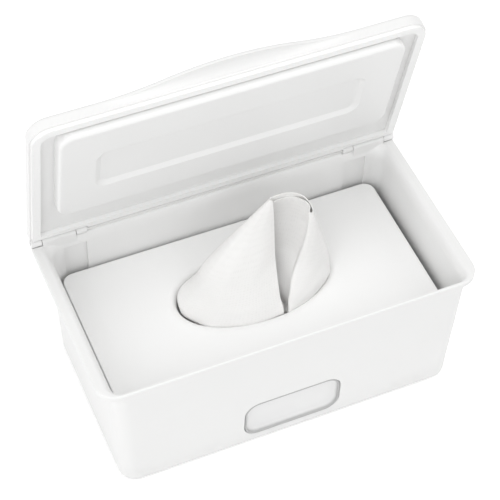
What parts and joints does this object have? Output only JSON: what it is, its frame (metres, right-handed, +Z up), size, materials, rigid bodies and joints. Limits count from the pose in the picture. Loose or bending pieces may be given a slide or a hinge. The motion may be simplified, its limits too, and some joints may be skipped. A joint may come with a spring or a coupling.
{
  "type": "countertop wipes dispenser",
  "caption": "Lidded countertop wipes dispenser: open hinged lid with seal, weighted plate with oval opening, folded wipes, front level window and feet.",
  "frame": {"origin": "centre of the tub's base, on the surface that its feet rest on", "axes": "+X along the length to the right, -Y to the front with the window, +Z up"},
  "size_m": [0.24, 0.1309, 0.2284],
  "materials": {
    "tub_plastic": "satin moulded plastic, fine even texture",
    "lid_plastic": "satin moulded plastic",
    "plate_plastic": "satin moulded plastic",
    "window_plastic": "frosted clear plastic, lightly glossy",
    "seal_rubber": "soft white silicone",
    "window_seal_rubber": "dark soft rubber",
    "foot_rubber": "matte silicone",
    "pin_steel": "drawn steel",
    "screw_steel": "zinc-plated steel",
    "weight_steel": "coated steel slab",
    "sleeve_plastic": "nylon",
    "wipe_cloth": "damp non-woven cloth"
  },
  "bodies": {
    "tub": {"tub": "tub_plastic", "hinge_sleeve_left": "sleeve_plastic", "hinge_sleeve_right": "sleeve_plastic", "window_pane": "window_plastic", "window_seal": "window_seal_rubber", "window_retainer": "tub_plastic", "wipe_stack": "wipe_cloth", "foot_front_left": "foot_rubber", "foot_front_right": "foot_rubber", "foot_rear_left": "foot_rubber", "foot_rear_right": "foot_rubber"},
    "lid": {"lid_shell": "lid_plastic", "lid_inner_panel": "lid_plastic", "lid_gasket": "seal_rubber", "hinge_pin_left": "pin_steel", "hinge_pin_right": "pin_steel"},
    "plate": {"plate_shell": "plate_plastic", "plate_base_cover": "plate_plastic", "plate_weight_left": "weight_steel", "plate_weight_right": "weight_steel", "plate_screws": "screw_steel"},
    "wipe": {"popped_wipe": "wipe_cloth"}
  },
  "joints": [
    {"name": "lid_hinge", "type": "hinge", "parent": "tub", "child": "lid", "pos_m": [0, 0.061, 0.097], "axis": [-1, 0, 0], "range_deg": [-78, 17], "deforming": ["popped_wipe"]},
    {"name": "plate_slide", "type": "slide", "parent": "tub", "child": "plate", "axis": [0, 0, 1], "range_m": [-0.046, 0.022], "deforming": ["wipe_stack"]},
    {"name": "wipe_pull", "type": "slide", "parent": "plate", "child": "wipe", "axis": [0, 0, 1], "range_m": [0, 0.06]}
  ]
}
